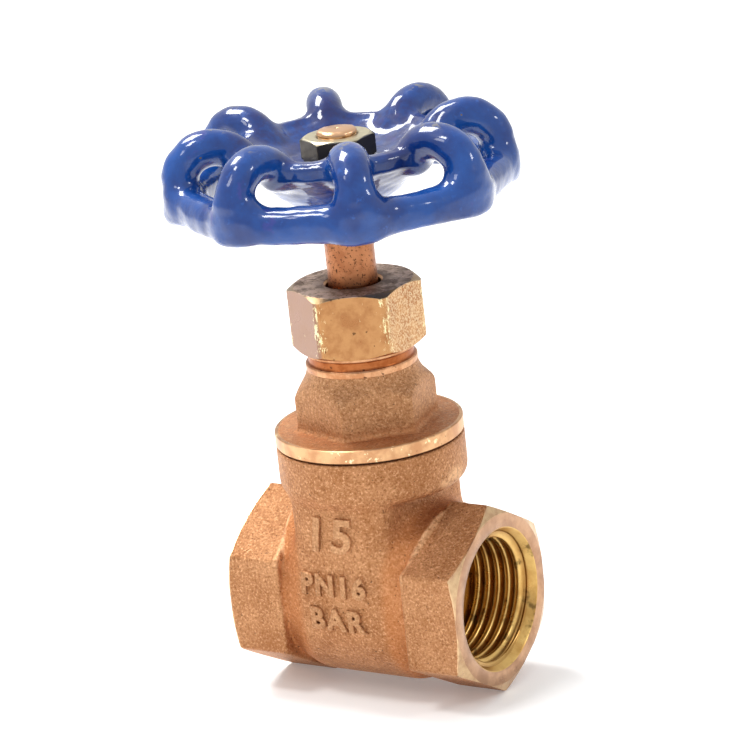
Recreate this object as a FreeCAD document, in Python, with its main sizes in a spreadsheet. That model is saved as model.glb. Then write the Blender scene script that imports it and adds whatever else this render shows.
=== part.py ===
import FreeCAD, Part
import os
import Sketcher

# A half-inch bronze gate valve with a rising wedge, a non-rising stem and a cast handwheel.
# X runs along the pipe and Z up the stem; the origin is where the two axes cross.

os.makedirs("parts", exist_ok=True)
doc = FreeCAD.newDocument("gate_valve")

DIMENSIONS = [
    # ports
    ("face_to_face", 41.3, "length over both port faces"),
    ("port_flats", 26.5, "port hexagon across flats"),
    ("port_hex_length", 9.6, "length of each port hexagon"),
    ("port_face_radius", 13.0, "flat ring left on the port face by the turned chamfer"),
    ("port_chamfer_slope", 2.5, "radial run of the chamfer per mm of length"),
    ("port_thread_radius", 10.48, "half-inch pipe thread, major radius"),
    ("port_thread_depth", 11.0, "port face to the end of the thread"),
    ("port_mouth_radius", 10.95, "plain lead-in at the port mouth"),
    ("port_mouth_depth", 2.2, "length of the lead-in"),
    ("waterway_radius", 6.5, "clear bore through both seats"),
    ("port_neck_radius", 12.4, "round neck between hexagon and middle"),
    # body
    ("seat_land", 1.7, "width of the seat ring face"),
    ("seat_rise", 2.2, "height of the seat ring above the chamber wall, at the axis"),
    ("chamber_gap", 1.5, "wedge edge to chamber wall"),
    ("side_wall", 3.0, "body wall beside the wedge"),
    ("end_wall", 2.1, "body wall behind the seats"),
    ("guide_width", 2.0, "width of the two upright wedge guides"),
    ("guide_reach", 2.2, "how far a guide stands in from the chamber wall"),
    ("guide_bottom", -4.0, "lower end of the guides"),
    ("guide_top", 16.0, "upper end of the guides"),
    ("corner_inset", 0.4, "rounded middle inside the collar's radius"),
    ("collar_height", 7.4, "round collar that takes the bonnet"),
    ("collar_wall", 2.35, "wall of the collar"),
    ("socket_floor", 0.6, "collar foot to bonnet end"),
    # wedge
    ("wedge_overlap", 0.6, "wedge edge beyond the seat ring"),
    ("wedge_wall", 1.3, "wall between wedge face and stem bore"),
    ("wedge_taper", 0.07, "slope of each wedge face"),
    ("wedge_boss_radius", 5.0, "round boss that holds the stem nut thread"),
    ("wedge_boss_rise", 3.2, "boss above the disc"),
    ("wedge_floor", 1.2, "metal under the stem bore"),
    ("seat_gap", 0.05, "wedge face to seat face when shut"),
    ("guide_gap", 0.25, "wedge slot to guide, each side"),
    ("lift_spare", 0.2, "lift beyond a clear waterway"),
    ("head_room", 0.5, "raised boss to retaining ring"),
    # stem
    ("stem_radius", 3.8, "shank through the packing"),
    ("stem_thread_radius", 3.2, "major radius of the wedge thread"),
    ("stem_thread_gap", 0.1, "stem thread to wedge bore"),
    ("stem_thread_hold", 4.0, "thread held in the boss when shut"),
    ("stem_collar_radius", 5.6, "collar that carries the thrust"),
    ("stem_collar_height", 2.2, "thickness of the collar"),
    ("stem_float", 0.1, "end play of the collar, each side"),
    ("running_gap", 0.05, "radial running clearance round the stem"),
    ("square_side", 6.0, "square that drives the handwheel"),
    ("square_gap", 0.05, "square to handwheel hole, each side"),
    ("stem_tip_radius", 2.95, "M6 end for the handwheel nut"),
    ("stem_tip_rise", 0.4, "stem end above the nut"),
    ("stem_tip_bevel", 0.5, "bevel of the stem end"),
    # bonnet
    ("ring_radius", 6.5, "retaining ring thread"),
    ("ring_height", 3.0, "retaining ring thickness"),
    ("ring_slot_width", 1.6, "spanner slot"),
    ("ring_slot_depth", 1.0, "spanner slot"),
    ("thread_gap", 0.05, "radial gap in the screwed joints"),
    ("bonnet_wall", 1.9, "wall of the screwed bonnet end"),
    ("gasket_height", 0.5, "bonnet gasket"),
    ("gasket_inset", 0.7, "gasket edge inside the flange rim"),
    ("flange_height", 1.9, "bonnet flange"),
    ("flange_drop", 0.7, "flange top below the retaining ring"),
    ("bonnet_flats", 19.0, "bonnet hexagon across flats"),
    ("bonnet_hex_height", 4.4, "straight part of the hexagon"),
    ("bonnet_turn", 42.0, "where the hexagon stopped when screwed home, degrees"),
    ("shoulder_height", 2.6, "bonnet metal between collar and packing"),
    ("box_radius", 6.0, "stuffing box"),
    ("box_depth", 8.8, "stuffing box"),
    ("neck_thread_radius", 8.3, "thread for the packing nut"),
    ("neck_lip", 1.0, "lip above the flare"),
    ("relief_height", 2.0, "undercut below the thread"),
    ("relief_depth", 0.6, "undercut below the thread"),
    # packing and nut
    ("packing_height", 1.8, "one packing ring"),
    ("packing_gap", 0.02, "packing to stuffing box and stem"),
    ("gland_spare", 0.6, "gland flange above the bonnet"),
    ("gland_flange_radius", 7.4, "gland flange"),
    ("gland_flange_height", 1.5, "gland flange"),
    ("nut_flats", 18.4, "packing nut across flats"),
    ("nut_corner_radius", 10.33, "packing nut corners as turned"),
    ("nut_face_radius", 9.2, "flat ring on both ends of the packing nut"),
    ("nut_chamfer_slope", 1.7, "radial run of its chamfers per mm of height"),
    ("nut_roof", 2.9, "packing nut above the gland"),
    ("nut_hold", 5.0, "packing nut below the bonnet's end"),
    ("nut_hole_gap", 0.5, "packing nut hole round the stem"),
    ("nut_turn", 28.0, "packing nut corner direction, degrees"),
    # handwheel
    ("wheel_rise", 15.2, "rim centre above the packing nut"),
    ("wheel_radius", 27.2, "outside of the rim at its corners"),
    ("rim_radius", 2.8, "radius of the rim's section"),
    ("rib_radius", 2.45, "radius of a rib's section"),
    ("arch_radius", 5.6, "centre line radius of a rib's arch"),
    ("arch_rise", 2.9, "arch centre above the rim centre"),
    ("wheel_turn", -7.0, "direction of the first rib, degrees"),
    ("hub_drop", 4.4, "hub foot below the rim centre"),
    ("hub_radius", 6.3, "hub foot"),
    ("floor_rise", 4.2, "nut seat above the rim centre"),
    ("floor_radius", 7.7, "nut seat"),
    ("dish_rise", 8.2, "dish rim above the rim centre"),
    ("dish_wall", 2.4, "dish rim"),
    ("dish_inset", 0.3, "dish rim inside the arches"),
    ("wheel_nut_flats", 10.0, "M6 thin nut"),
    ("wheel_nut_height", 3.6, "M6 thin nut"),
    ("wheel_nut_bevel", 0.35, "turned bevel on its corners"),
]

sheet = doc.addObject("Spreadsheet::Sheet", "dim")
for row, (alias, value, meaning) in enumerate(DIMENSIONS, start=1):
    sheet.set(f"A{row}", meaning)
    sheet.set(f"B{row}", str(value))
    sheet.setAlias(f"B{row}", alias)
doc.recompute()

# Places that follow from the dimensions, as expressions of the sheet. Heights are above the
# pipe axis.
HALF_LENGTH = "dim.face_to_face / 2"
SEAT_RADIUS = "(dim.waterway_radius + dim.seat_land)"
WEDGE_RADIUS = f"({SEAT_RADIUS} + dim.wedge_overlap)"
WEDGE_HALF = "(dim.stem_thread_radius + dim.stem_thread_gap + dim.wedge_wall)"
CHAMBER_SIDE = f"({WEDGE_RADIUS} + dim.chamber_gap)"
CHAMBER_END = f"({WEDGE_HALF} + dim.seat_rise)"
BODY_SIDE = f"({CHAMBER_SIDE} + dim.side_wall)"
BODY_END = f"({CHAMBER_END} + dim.end_wall)"
LIFT = f"({WEDGE_RADIUS} + dim.waterway_radius + dim.lift_spare)"
BOSS_TOP = f"({WEDGE_RADIUS} + dim.wedge_boss_rise)"
RING_FOOT = f"({BOSS_TOP} + {LIFT} + dim.head_room)"
RING_TOP = f"({RING_FOOT} + dim.ring_height)"
THRUST_FACE = f"({RING_TOP} + dim.stem_collar_height + 2 * dim.stem_float)"
BOX_FOOT = f"({THRUST_FACE} + dim.shoulder_height)"
BONNET_TOP = f"({BOX_FOOT} + dim.box_depth)"
FLANGE_TOP = f"({RING_FOOT} - dim.flange_drop)"
FLANGE_FOOT = f"({FLANGE_TOP} - dim.flange_height)"
BODY_TOP = f"({FLANGE_FOOT} - dim.gasket_height)"
COLLAR_FOOT = f"({BODY_TOP} - dim.collar_height)"
SCREW_RADIUS = f"({CHAMBER_SIDE} + dim.bonnet_wall)"
SOCKET_RADIUS = f"({SCREW_RADIUS} + dim.thread_gap)"
COLLAR_RADIUS = f"({SOCKET_RADIUS} + dim.collar_wall)"
GLAND_FLANGE = f"({BONNET_TOP} + dim.gland_spare)"
GLAND_TOP = f"({GLAND_FLANGE} + dim.gland_flange_height)"
NUT_FOOT = f"({BONNET_TOP} - dim.nut_hold)"
NUT_TOP = f"({GLAND_TOP} + dim.nut_roof)"
STEM_BORE = "(dim.stem_radius + dim.running_gap)"
WHEEL_Z = f"({NUT_TOP} + dim.wheel_rise)"
HUB_FOOT = f"({WHEEL_Z} - dim.hub_drop)"
HUB_FLOOR = f"({WHEEL_Z} + dim.floor_rise)"
ARCH_Z = f"({WHEEL_Z} + dim.arch_rise)"
RIM_CORNER = "(dim.wheel_radius - dim.rim_radius)"
ARCH_R = "(dim.wheel_radius - dim.arch_radius - dim.rib_radius)"
STEM_TOP = f"({HUB_FLOOR} + dim.wheel_nut_height + dim.stem_tip_rise)"
CUT_SPARE = "1.0"
RIBS = 8
ARCH_START = -32.0
ARCH_SWEEP = 172.0

subparts = []


def bind(thing, **expressions):
    """Ties each named property of an object to an expression of the sheet."""
    for name, expression in expressions.items():
        thing.setExpression(name.replace("__", "."), expression)
    return thing


def primitive(kind, name, **expressions):
    """A Part primitive with its sizes and place bound to the sheet."""
    return bind(doc.addObject(kind, name), **expressions)


def turn(thing, axis, degrees):
    """Turns an object about one of its axes before its place is bound."""
    thing.Placement = FreeCAD.Placement(thing.Placement.Base, FreeCAD.Rotation(axis, degrees))
    return thing


def along_x(name, radius, start, length, kind="Part::Cylinder", **more):
    """A round bar on the pipe axis, from x = start to start + length."""
    bar = doc.addObject(kind, name)
    turn(bar, FreeCAD.Vector(0, 1, 0), 90)
    if radius:
        more["Radius"] = radius
    return bind(bar, Height=length, Placement__Base__x=start, **more)


def upright(name, radius, foot, top, kind="Part::Cylinder", **more):
    """A round bar on the stem axis, from z = foot to top."""
    if radius:
        more["Radius"] = radius
    return primitive(kind, name, Height=f"{top} - {foot}", Placement__Base__z=foot, **more)


def block(name, half_x, half_y, foot, top):
    """A box centred on the stem axis, from z = foot to top."""
    return primitive("Part::Box", name, Length=f"2 * {half_x}", Width=f"2 * {half_y}",
                     Height=f"{top} - {foot}", Placement__Base__x=f"-{half_x}",
                     Placement__Base__y=f"-{half_y}", Placement__Base__z=foot)


def join(name, shapes):
    fused = doc.addObject("Part::MultiFuse", name)
    fused.Shapes = shapes
    fused.Refine = True
    return fused


def overlap(name, shapes):
    common = doc.addObject("Part::MultiCommon", name)
    common.Shapes = shapes
    return common


def cut(name, base, tool):
    remainder = doc.addObject("Part::Cut", name)
    remainder.Base = base
    remainder.Tool = tool
    return remainder


def turned(name, corners):
    """A body turned about the stem axis from a closed outline of (radius, height) corners."""
    body = doc.addObject("PartDesign::Body", name)
    plane = next(f for f in body.Origin.OriginFeatures if f.Role == "XZ_Plane")
    spindle = next(f for f in body.Origin.OriginFeatures if f.Role == "Z_Axis")
    sketch = body.newObject("Sketcher::SketchObject", f"{name}_outline")
    sketch.AttachmentSupport = [(plane, "")]
    sketch.MapMode = "FlatFace"
    count = len(corners)
    start = [FreeCAD.Vector(10 + i, (i * i) % 7 + i, 0) for i in range(count)]
    for i in range(count):
        sketch.addGeometry(Part.LineSegment(start[i], start[(i + 1) % count]))
    for i in range(count):
        sketch.addConstraint(Sketcher.Constraint("Coincident", i, 2, (i + 1) % count, 1))
    for i, (radius, height) in enumerate(corners):
        for direction, expression in (("DistanceX", radius), ("DistanceY", height)):
            index = sketch.addConstraint(Sketcher.Constraint(direction, -1, 1, i, 1, 1.0))
            sketch.setExpression(f"Constraints[{index}]", expression)
    doc.recompute()
    revolution = body.newObject("PartDesign::Revolution", f"{name}_turned")
    revolution.Profile = sketch
    revolution.ReferenceAxis = (spindle, [""])
    revolution.Angle = 360.0
    body.Tip = revolution
    return body


def washer(name, inner, outer, foot, top):
    return turned(name, [(inner, foot), (outer, foot), (outer, top), (inner, top)])


def place(thing, label):
    """Names a finished piece and keeps it for the closing tests and the STEP files."""
    thing.Label = label
    subparts.append(thing)
    return thing


def valve_body():
    """Cast and machined body: two hexagon ports, seat rings, wedge guides and bonnet socket."""
    ends = []
    for side, first in (("right", f"{HALF_LENGTH} - dim.port_hex_length"),
                        ("left", f"-{HALF_LENGTH}")):
        hexagon = along_x(f"{side}_hexagon", None, first, "dim.port_hex_length", "Part::Prism",
                          Circumradius="dim.port_flats / sqrt(3)")
        hexagon.Polygon = 6
        wide = "dim.port_face_radius + dim.port_hex_length * dim.port_chamfer_slope"
        radii = [wide, "dim.port_face_radius"] if side == "right" else ["dim.port_face_radius", wide]
        chamfer = along_x(f"{side}_chamfer", None, first, "dim.port_hex_length", "Part::Cone",
                          Radius1=radii[0], Radius2=radii[1])
        ends.append(overlap(f"{side}_port", [hexagon, chamfer]))
    inner_end = f"({HALF_LENGTH} - dim.port_hex_length)"
    neck = along_x("port_necks", "dim.port_neck_radius", f"-{inner_end}", f"2 * {inner_end}")
    belly = along_x("belly", BODY_SIDE, f"-{BODY_END}", f"2 * {BODY_END}")
    chest = block("chest", BODY_END, BODY_SIDE, "0", f"({COLLAR_FOOT} + {CUT_SPARE})")
    corners = upright("corner_rounding", f"({COLLAR_RADIUS} - dim.corner_inset)",
                      f"(-{BODY_SIDE} - {CUT_SPARE})", f"({COLLAR_FOOT} + {CUT_SPARE})")
    middle = overlap("middle", [join("middle_blank", [belly, chest]), corners])
    collar = upright("collar", COLLAR_RADIUS, COLLAR_FOOT, BODY_TOP)
    outside = join("body_outside", ends + [neck, middle, collar])

    round_foot = along_x("chamber_foot", CHAMBER_SIDE, f"-{CHAMBER_END}", f"2 * {CHAMBER_END}")
    shaft = block("chamber_shaft", CHAMBER_END, CHAMBER_SIDE, "0", f"({COLLAR_FOOT} + {CUT_SPARE})")
    socket = upright("bonnet_socket", SOCKET_RADIUS, f"({COLLAR_FOOT})", f"({BODY_TOP} + {CUT_SPARE})")
    hollow = join("chamber", [round_foot, shaft, socket])
    shell = cut("body_shell", outside, hollow)

    ring = along_x("seat_bar", SEAT_RADIUS, f"-({CHAMBER_END} + {CUT_SPARE})",
                   f"2 * ({CHAMBER_END} + {CUT_SPARE})")
    seats = cut("seat_rings", ring, taper_block("seat_space", "dim.seat_gap", "dim.seat_land"))
    guides = []
    for side, sign in (("front", "-"), ("back", "")):
        middle_y = f"({CHAMBER_SIDE} + ({CUT_SPARE} - dim.guide_reach) / 2)"
        guides.append(primitive("Part::Box", f"{side}_guide", Length="dim.guide_width",
                                Width=f"dim.guide_reach + {CUT_SPARE}",
                                Height="dim.guide_top - dim.guide_bottom",
                                Placement__Base__x="-dim.guide_width / 2",
                                Placement__Base__y=f"{sign}{middle_y} - (dim.guide_reach + {CUT_SPARE}) / 2",
                                Placement__Base__z="dim.guide_bottom"))
    fitted = join("body_with_seats", [shell, seats] + guides)

    bores = [along_x("waterway", "dim.waterway_radius", f"-{HALF_LENGTH}", "dim.face_to_face")]
    for name, radius, depth in (("thread", "dim.port_thread_radius", "dim.port_thread_depth"),
                                ("mouth", "dim.port_mouth_radius", "dim.port_mouth_depth")):
        bores.append(along_x(f"right_{name}", radius, f"{HALF_LENGTH} - {depth}",
                             f"{depth} + {CUT_SPARE}"))
        bores.append(along_x(f"left_{name}", radius, f"-{HALF_LENGTH} - {CUT_SPARE}",
                             f"{depth} + {CUT_SPARE}"))
    return cut("body_piece", fitted, join("port_bores", bores))


def taper_block(name, gap, spare):
    """The wedge-shaped space between the seats: narrower below, with gap added to each face."""
    foot = f"-({WEDGE_RADIUS} + {spare})"
    top = f"({WEDGE_RADIUS} + {spare})"
    low = f"({WEDGE_HALF} + {gap} + dim.wedge_taper * {foot})"
    high = f"({WEDGE_HALF} + {gap} + dim.wedge_taper * {top})"
    solid = doc.addObject("Part::Wedge", name)
    turn(solid, FreeCAD.Vector(1, 0, 0), 90)
    side = f"({WEDGE_RADIUS} + {spare})"
    return bind(solid, Xmin=f"-{low}", Xmax=low, X2min=f"-{high}", X2max=high, Ymin=foot, Ymax=top,
                Zmin=f"-{side}", Zmax=side, Z2min=f"-{side}", Z2max=side)


def wedge():
    """Wedge with a stem bore, a threaded boss and a slot on each edge for the guides."""
    disc = along_x("wedge_disc", WEDGE_RADIUS, f"-{CHAMBER_END}", f"2 * {CHAMBER_END}")
    faces = overlap("wedge_faces", [disc, taper_block("wedge_taper_block", "0", "0")])
    boss = upright("wedge_boss", "dim.wedge_boss_radius", "0", BOSS_TOP)
    narrow = f"({WEDGE_HALF} + dim.wedge_taper * {WEDGE_RADIUS})"
    kept_boss = overlap("wedge_boss_flats", [boss, block("boss_limit", narrow, CHAMBER_SIDE, "0", BOSS_TOP)])
    blank = join("wedge_blank", [faces, kept_boss])
    bore = upright("wedge_bore", "dim.stem_thread_radius + dim.stem_thread_gap",
                   f"(dim.wedge_floor - {WEDGE_RADIUS})", f"({BOSS_TOP} + {CUT_SPARE})")
    half_slot = "(dim.guide_width / 2 + dim.guide_gap)"
    slot_root = f"({CHAMBER_SIDE} - dim.guide_reach - dim.guide_gap)"
    slots = []
    for side, start in (("front", f"-({CHAMBER_SIDE})"), ("back", slot_root)):
        slots.append(primitive("Part::Box", f"{side}_slot", Length=f"2 * {half_slot}",
                               Width="dim.guide_reach + dim.guide_gap", Height=f"2 * {WEDGE_RADIUS}",
                               Placement__Base__x=f"-{half_slot}", Placement__Base__y=start,
                               Placement__Base__z=f"-{WEDGE_RADIUS}"))
    return cut("wedge_piece", blank, join("wedge_cuts", [bore] + slots))


def bonnet():
    """Cast bonnet: screwed end, flange, hexagon, flared neck, stuffing box and nut thread."""
    end_foot = f"({COLLAR_FOOT} + dim.socket_floor)"
    relief = "dim.neck_thread_radius - dim.relief_depth"
    relief_foot = f"({BOX_FOOT} + dim.neck_lip)"
    relief_top = f"({relief_foot} + dim.relief_height)"
    corner = "(dim.bonnet_flats / sqrt(3) + 0.2)"
    hex_top = f"({FLANGE_TOP} + dim.bonnet_hex_height)"
    neck = "dim.neck_thread_radius"
    thread_outline = [("0", relief_foot), (relief, relief_foot), (relief, relief_top), (neck, relief_top),
                      (neck, f"{BONNET_TOP} - 0.4"), (f"{neck} - 0.4", BONNET_TOP), ("0", BONNET_TOP)]
    flange_outline = [("0", end_foot), (f"{SCREW_RADIUS} - 0.4", end_foot),
                      (SCREW_RADIUS, f"{end_foot} + 0.4"), (SCREW_RADIUS, FLANGE_FOOT),
                      (COLLAR_RADIUS, FLANGE_FOOT), (COLLAR_RADIUS, FLANGE_TOP), ("0", FLANGE_TOP)]
    flare_outline = [("0", FLANGE_FOOT), (corner, FLANGE_FOOT), (corner, hex_top), (neck, BOX_FOOT),
                     (neck, relief_foot), ("0", relief_foot)]
    prism = upright("bonnet_prism", None, FLANGE_FOOT, relief_foot, "Part::Prism",
                    Circumradius="dim.bonnet_flats / sqrt(3)", Placement__Rotation__Angle="dim.bonnet_turn")
    prism.Polygon = 6
    hexagon = overlap("bonnet_hexagon", [prism, turned("bonnet_flare", flare_outline)])
    outside = join("bonnet_outside", [turned("bonnet_flange", flange_outline), hexagon,
                                      turned("bonnet_thread", thread_outline)])
    cavity_roof = f"({FLANGE_FOOT} - 0.3)"
    steps = [("0", f"{end_foot} - {CUT_SPARE}"), (CHAMBER_SIDE, f"{end_foot} - {CUT_SPARE}"),
             (CHAMBER_SIDE, cavity_roof), ("dim.ring_radius + dim.thread_gap", f"{cavity_roof} + 1.5"),
             ("dim.ring_radius + dim.thread_gap", RING_TOP),
             ("dim.stem_collar_radius + 0.3", RING_TOP), ("dim.stem_collar_radius + 0.3", THRUST_FACE),
             (STEM_BORE, THRUST_FACE), (STEM_BORE, BOX_FOOT), ("dim.box_radius", BOX_FOOT),
             ("dim.box_radius", f"{BONNET_TOP} + {CUT_SPARE}"), ("0", f"{BONNET_TOP} + {CUT_SPARE}")]
    return cut("bonnet_piece", outside, turned("bonnet_inside", steps))


def retaining_ring():
    """Screwed ring that holds the stem collar up in the bonnet, with two spanner slots."""
    plain = washer("ring_blank", STEM_BORE.replace("stem_radius", "stem_thread_radius"),
                   "dim.ring_radius", RING_FOOT, RING_TOP)
    slot = primitive("Part::Box", "ring_slot", Length="2 * dim.ring_radius + 2", Width="dim.ring_slot_width",
                     Height=f"dim.ring_slot_depth + {CUT_SPARE}", Placement__Base__x="-dim.ring_radius - 1",
                     Placement__Base__y="-dim.ring_slot_width / 2",
                     Placement__Base__z=f"{RING_FOOT} - {CUT_SPARE}")
    return cut("ring_piece", plain, slot)


def stem():
    """Stem: left-hand wedge thread, thrust collar, shank, driving square and M6 end."""
    foot = f"({BOSS_TOP} - dim.stem_thread_hold)"
    thread = "dim.stem_thread_radius"
    collar_foot = f"({RING_TOP} + dim.stem_float)"
    collar_top = f"({THRUST_FACE} - dim.stem_float)"
    square_top = f"({HUB_FLOOR} - 0.4)"
    tip = "dim.stem_tip_radius"
    outline = [("0", foot), (f"{thread} - 0.5", foot), (thread, f"{foot} + 0.5"), (thread, collar_foot),
               ("dim.stem_collar_radius", collar_foot), ("dim.stem_collar_radius", collar_top),
               ("dim.stem_radius", collar_top), ("dim.stem_radius", square_top), (tip, square_top),
               (tip, f"{STEM_TOP} - dim.stem_tip_bevel"), (f"{tip} - dim.stem_tip_bevel", STEM_TOP),
               ("0", STEM_TOP)]
    blank = turned("stem_blank", outline)
    ring = upright("square_ring", "dim.stem_radius + 1", HUB_FOOT, square_top)
    square = block("stem_square", "(dim.square_side / 2)", "(dim.square_side / 2)",
                   f"({HUB_FOOT} - {CUT_SPARE})", f"({square_top} + {CUT_SPARE})")
    return cut("stem_piece", blank, cut("square_waste", ring, square))


def packing_nut():
    """Hexagon packing nut with turned chamfers on both ends and a hole for the stem."""
    prism = upright("nut_prism", None, NUT_FOOT, NUT_TOP, "Part::Prism",
                    Circumradius="dim.nut_flats / sqrt(3)", Placement__Rotation__Angle="dim.nut_turn")
    prism.Polygon = 6
    rim = "(dim.nut_corner_radius - dim.nut_face_radius) / dim.nut_chamfer_slope"
    envelope = turned("nut_turning", [
        ("0", NUT_FOOT), ("dim.nut_face_radius", NUT_FOOT), ("dim.nut_corner_radius", f"{NUT_FOOT} + {rim}"),
        ("dim.nut_corner_radius", f"{NUT_TOP} - {rim}"), ("dim.nut_face_radius", NUT_TOP), ("0", NUT_TOP)])
    thread = upright("nut_thread", "dim.neck_thread_radius + dim.thread_gap",
                     f"({NUT_FOOT} - {CUT_SPARE})", GLAND_TOP)
    hole = upright("nut_hole", "dim.stem_radius + dim.nut_hole_gap", NUT_FOOT, f"({NUT_TOP} + {CUT_SPARE})")
    return cut("nut_piece", overlap("nut_blank", [prism, envelope]), join("nut_bores", [thread, hole]))


def packing_rings():
    rings = []
    for number in range(3):
        foot = f"({BOX_FOOT} + {number} * dim.packing_height)"
        rings.append(washer(f"packing_{number + 1}", "dim.stem_radius + dim.packing_gap",
                            "dim.box_radius - dim.packing_gap", foot, f"({foot} + dim.packing_height)"))
    return rings


def gland_follower():
    """Flanged bush that the packing nut presses onto the packing."""
    foot = f"({BOX_FOOT} + 3 * dim.packing_height)"
    body_radius = "dim.box_radius - dim.running_gap"
    return turned("gland", [(STEM_BORE, foot), (body_radius, foot), (body_radius, GLAND_FLANGE),
                            ("dim.gland_flange_radius", GLAND_FLANGE), ("dim.gland_flange_radius", GLAND_TOP),
                            (STEM_BORE, GLAND_TOP)])


def handwheel():
    """One-piece casting: hub, dish, an eight-sided rim and eight ribs that arch over to the dish."""
    dish_top = f"({WHEEL_Z} + dim.dish_rise)"
    dish_outer = f"({ARCH_R} - dim.rib_radius - dim.dish_inset)"
    hub = turned("wheel_hub", [
        ("0", HUB_FOOT), ("dim.hub_radius", HUB_FOOT), ("dim.hub_radius", f"{HUB_FOOT} + 1.3"),
        ("dim.hub_radius + 1.9", f"{HUB_FOOT} + 2.5"), (dish_outer, f"{HUB_FLOOR} + 1.0"),
        (dish_outer, f"{dish_top} - 1.0"), (f"{dish_outer} - 0.9", dish_top),
        (f"{dish_outer} - dim.dish_wall + 0.8", dish_top), (f"{dish_outer} - dim.dish_wall", f"{dish_top} - 0.8"),
        ("dim.floor_radius", HUB_FLOOR), ("0", HUB_FLOOR)])
    pieces = [hub]
    up = FreeCAD.Vector(0, 0, 1)
    side_length = f"(2 * {RIM_CORNER} * sin(180 deg / {RIBS}))"
    for index in range(RIBS):
        angle = f"({index} * 360 deg / {RIBS})"
        outward = FreeCAD.Rotation(up, index * 360 / RIBS).multVec(FreeCAD.Vector(1, 0, 0))
        pieces.append(primitive("Part::Sphere", f"corner_{index}", Radius="dim.rim_radius + 0.05",
                                Placement__Base__x=f"{RIM_CORNER} * cos({angle})",
                                Placement__Base__y=f"{RIM_CORNER} * sin({angle})",
                                Placement__Base__z=WHEEL_Z))
        side = doc.addObject("Part::Cylinder", f"rim_side_{index}")
        along = FreeCAD.Rotation(up, (index + 0.5) * 360 / RIBS).multVec(FreeCAD.Vector(0, 1, 0))
        side.Placement.Rotation = FreeCAD.Rotation(up, along)
        pieces.append(bind(side, Radius="dim.rim_radius", Height=side_length,
                           Placement__Base__x=f"{RIM_CORNER} * cos({angle})",
                           Placement__Base__y=f"{RIM_CORNER} * sin({angle})",
                           Placement__Base__z=WHEEL_Z))
        arch = doc.addObject("Part::Torus", f"rib_{index}")
        across = outward.cross(up)
        start = FreeCAD.Rotation(across, ARCH_START).multVec(outward)
        arch.Placement.Rotation = FreeCAD.Rotation(start, FreeCAD.Vector(), across, "ZXY")
        arch.Angle3 = ARCH_SWEEP
        pieces.append(bind(arch, Radius1="dim.arch_radius", Radius2="dim.rib_radius",
                           Placement__Base__x=f"{ARCH_R} * cos({angle})",
                           Placement__Base__y=f"{ARCH_R} * sin({angle})",
                           Placement__Base__z=ARCH_Z))
    half_hole = "(dim.square_side / 2 + dim.square_gap)"
    hole = block("wheel_hole", half_hole, half_hole, f"({HUB_FOOT} - {CUT_SPARE})",
                 f"({HUB_FLOOR} + {CUT_SPARE})")
    return cut("wheel_piece", join("wheel_casting", pieces), hole)


def handwheel_nut():
    """Thin M6 nut with bevelled corners."""
    top = f"({HUB_FLOOR} + dim.wheel_nut_height)"
    prism = upright("wheel_nut_prism", None, HUB_FLOOR, top, "Part::Prism",
                    Circumradius="dim.wheel_nut_flats / sqrt(3)")
    prism.Polygon = 6
    wide = "(dim.wheel_nut_flats / sqrt(3) + 0.05)"
    rim = "(dim.wheel_nut_flats / 2)"
    envelope = turned("wheel_nut_turning", [("0", HUB_FLOOR), (wide, HUB_FLOOR),
                                            (wide, f"{top} - dim.wheel_nut_bevel"), (rim, top), ("0", top)])
    hole = upright("wheel_nut_hole", "dim.stem_tip_radius + dim.thread_gap", f"({HUB_FLOOR} - {CUT_SPARE})",
                   f"({top} + {CUT_SPARE})")
    return cut("wheel_nut_piece", overlap("wheel_nut_blank", [prism, envelope]), hole)


place(valve_body(), "valve_body")
place(wedge(), "wedge")
place(bonnet(), "bonnet")
place(washer("gasket", f"({SCREW_RADIUS} + dim.thread_gap)", f"({COLLAR_RADIUS} - dim.gasket_inset)",
             BODY_TOP, FLANGE_FOOT), "bonnet_gasket")
place(retaining_ring(), "stem_retaining_ring")
bind(place(stem(), "stem"), Placement__Rotation__Angle="dim.wheel_turn")
for number, ring in enumerate(packing_rings(), start=1):
    place(ring, f"packing_ring_{number}")
place(gland_follower(), "gland_follower")
place(packing_nut(), "packing_nut")
bind(place(handwheel(), "handwheel"), Placement__Rotation__Angle="dim.wheel_turn")
place(handwheel_nut(), "handwheel_nut")

doc.recompute()
faults = [thing.Name for thing in doc.Objects if {"Invalid", "Error"} & set(thing.State)]
faults += [thing.Label for thing in subparts if thing.Shape.isNull() or not thing.Shape.isValid()]
if faults:
    raise SystemExit(f"not built: {faults}")
for thing in subparts:
    thing.Shape.exportStep(os.path.join("parts", f"{thing.Label}.step"))
    print(f"{thing.Label:22s} {len(thing.Shape.Solids)} solid  {thing.Shape.Volume:9.1f} mm3")
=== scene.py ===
import math
import bpy
import numpy as np
from mathutils import Matrix, Vector


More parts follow.
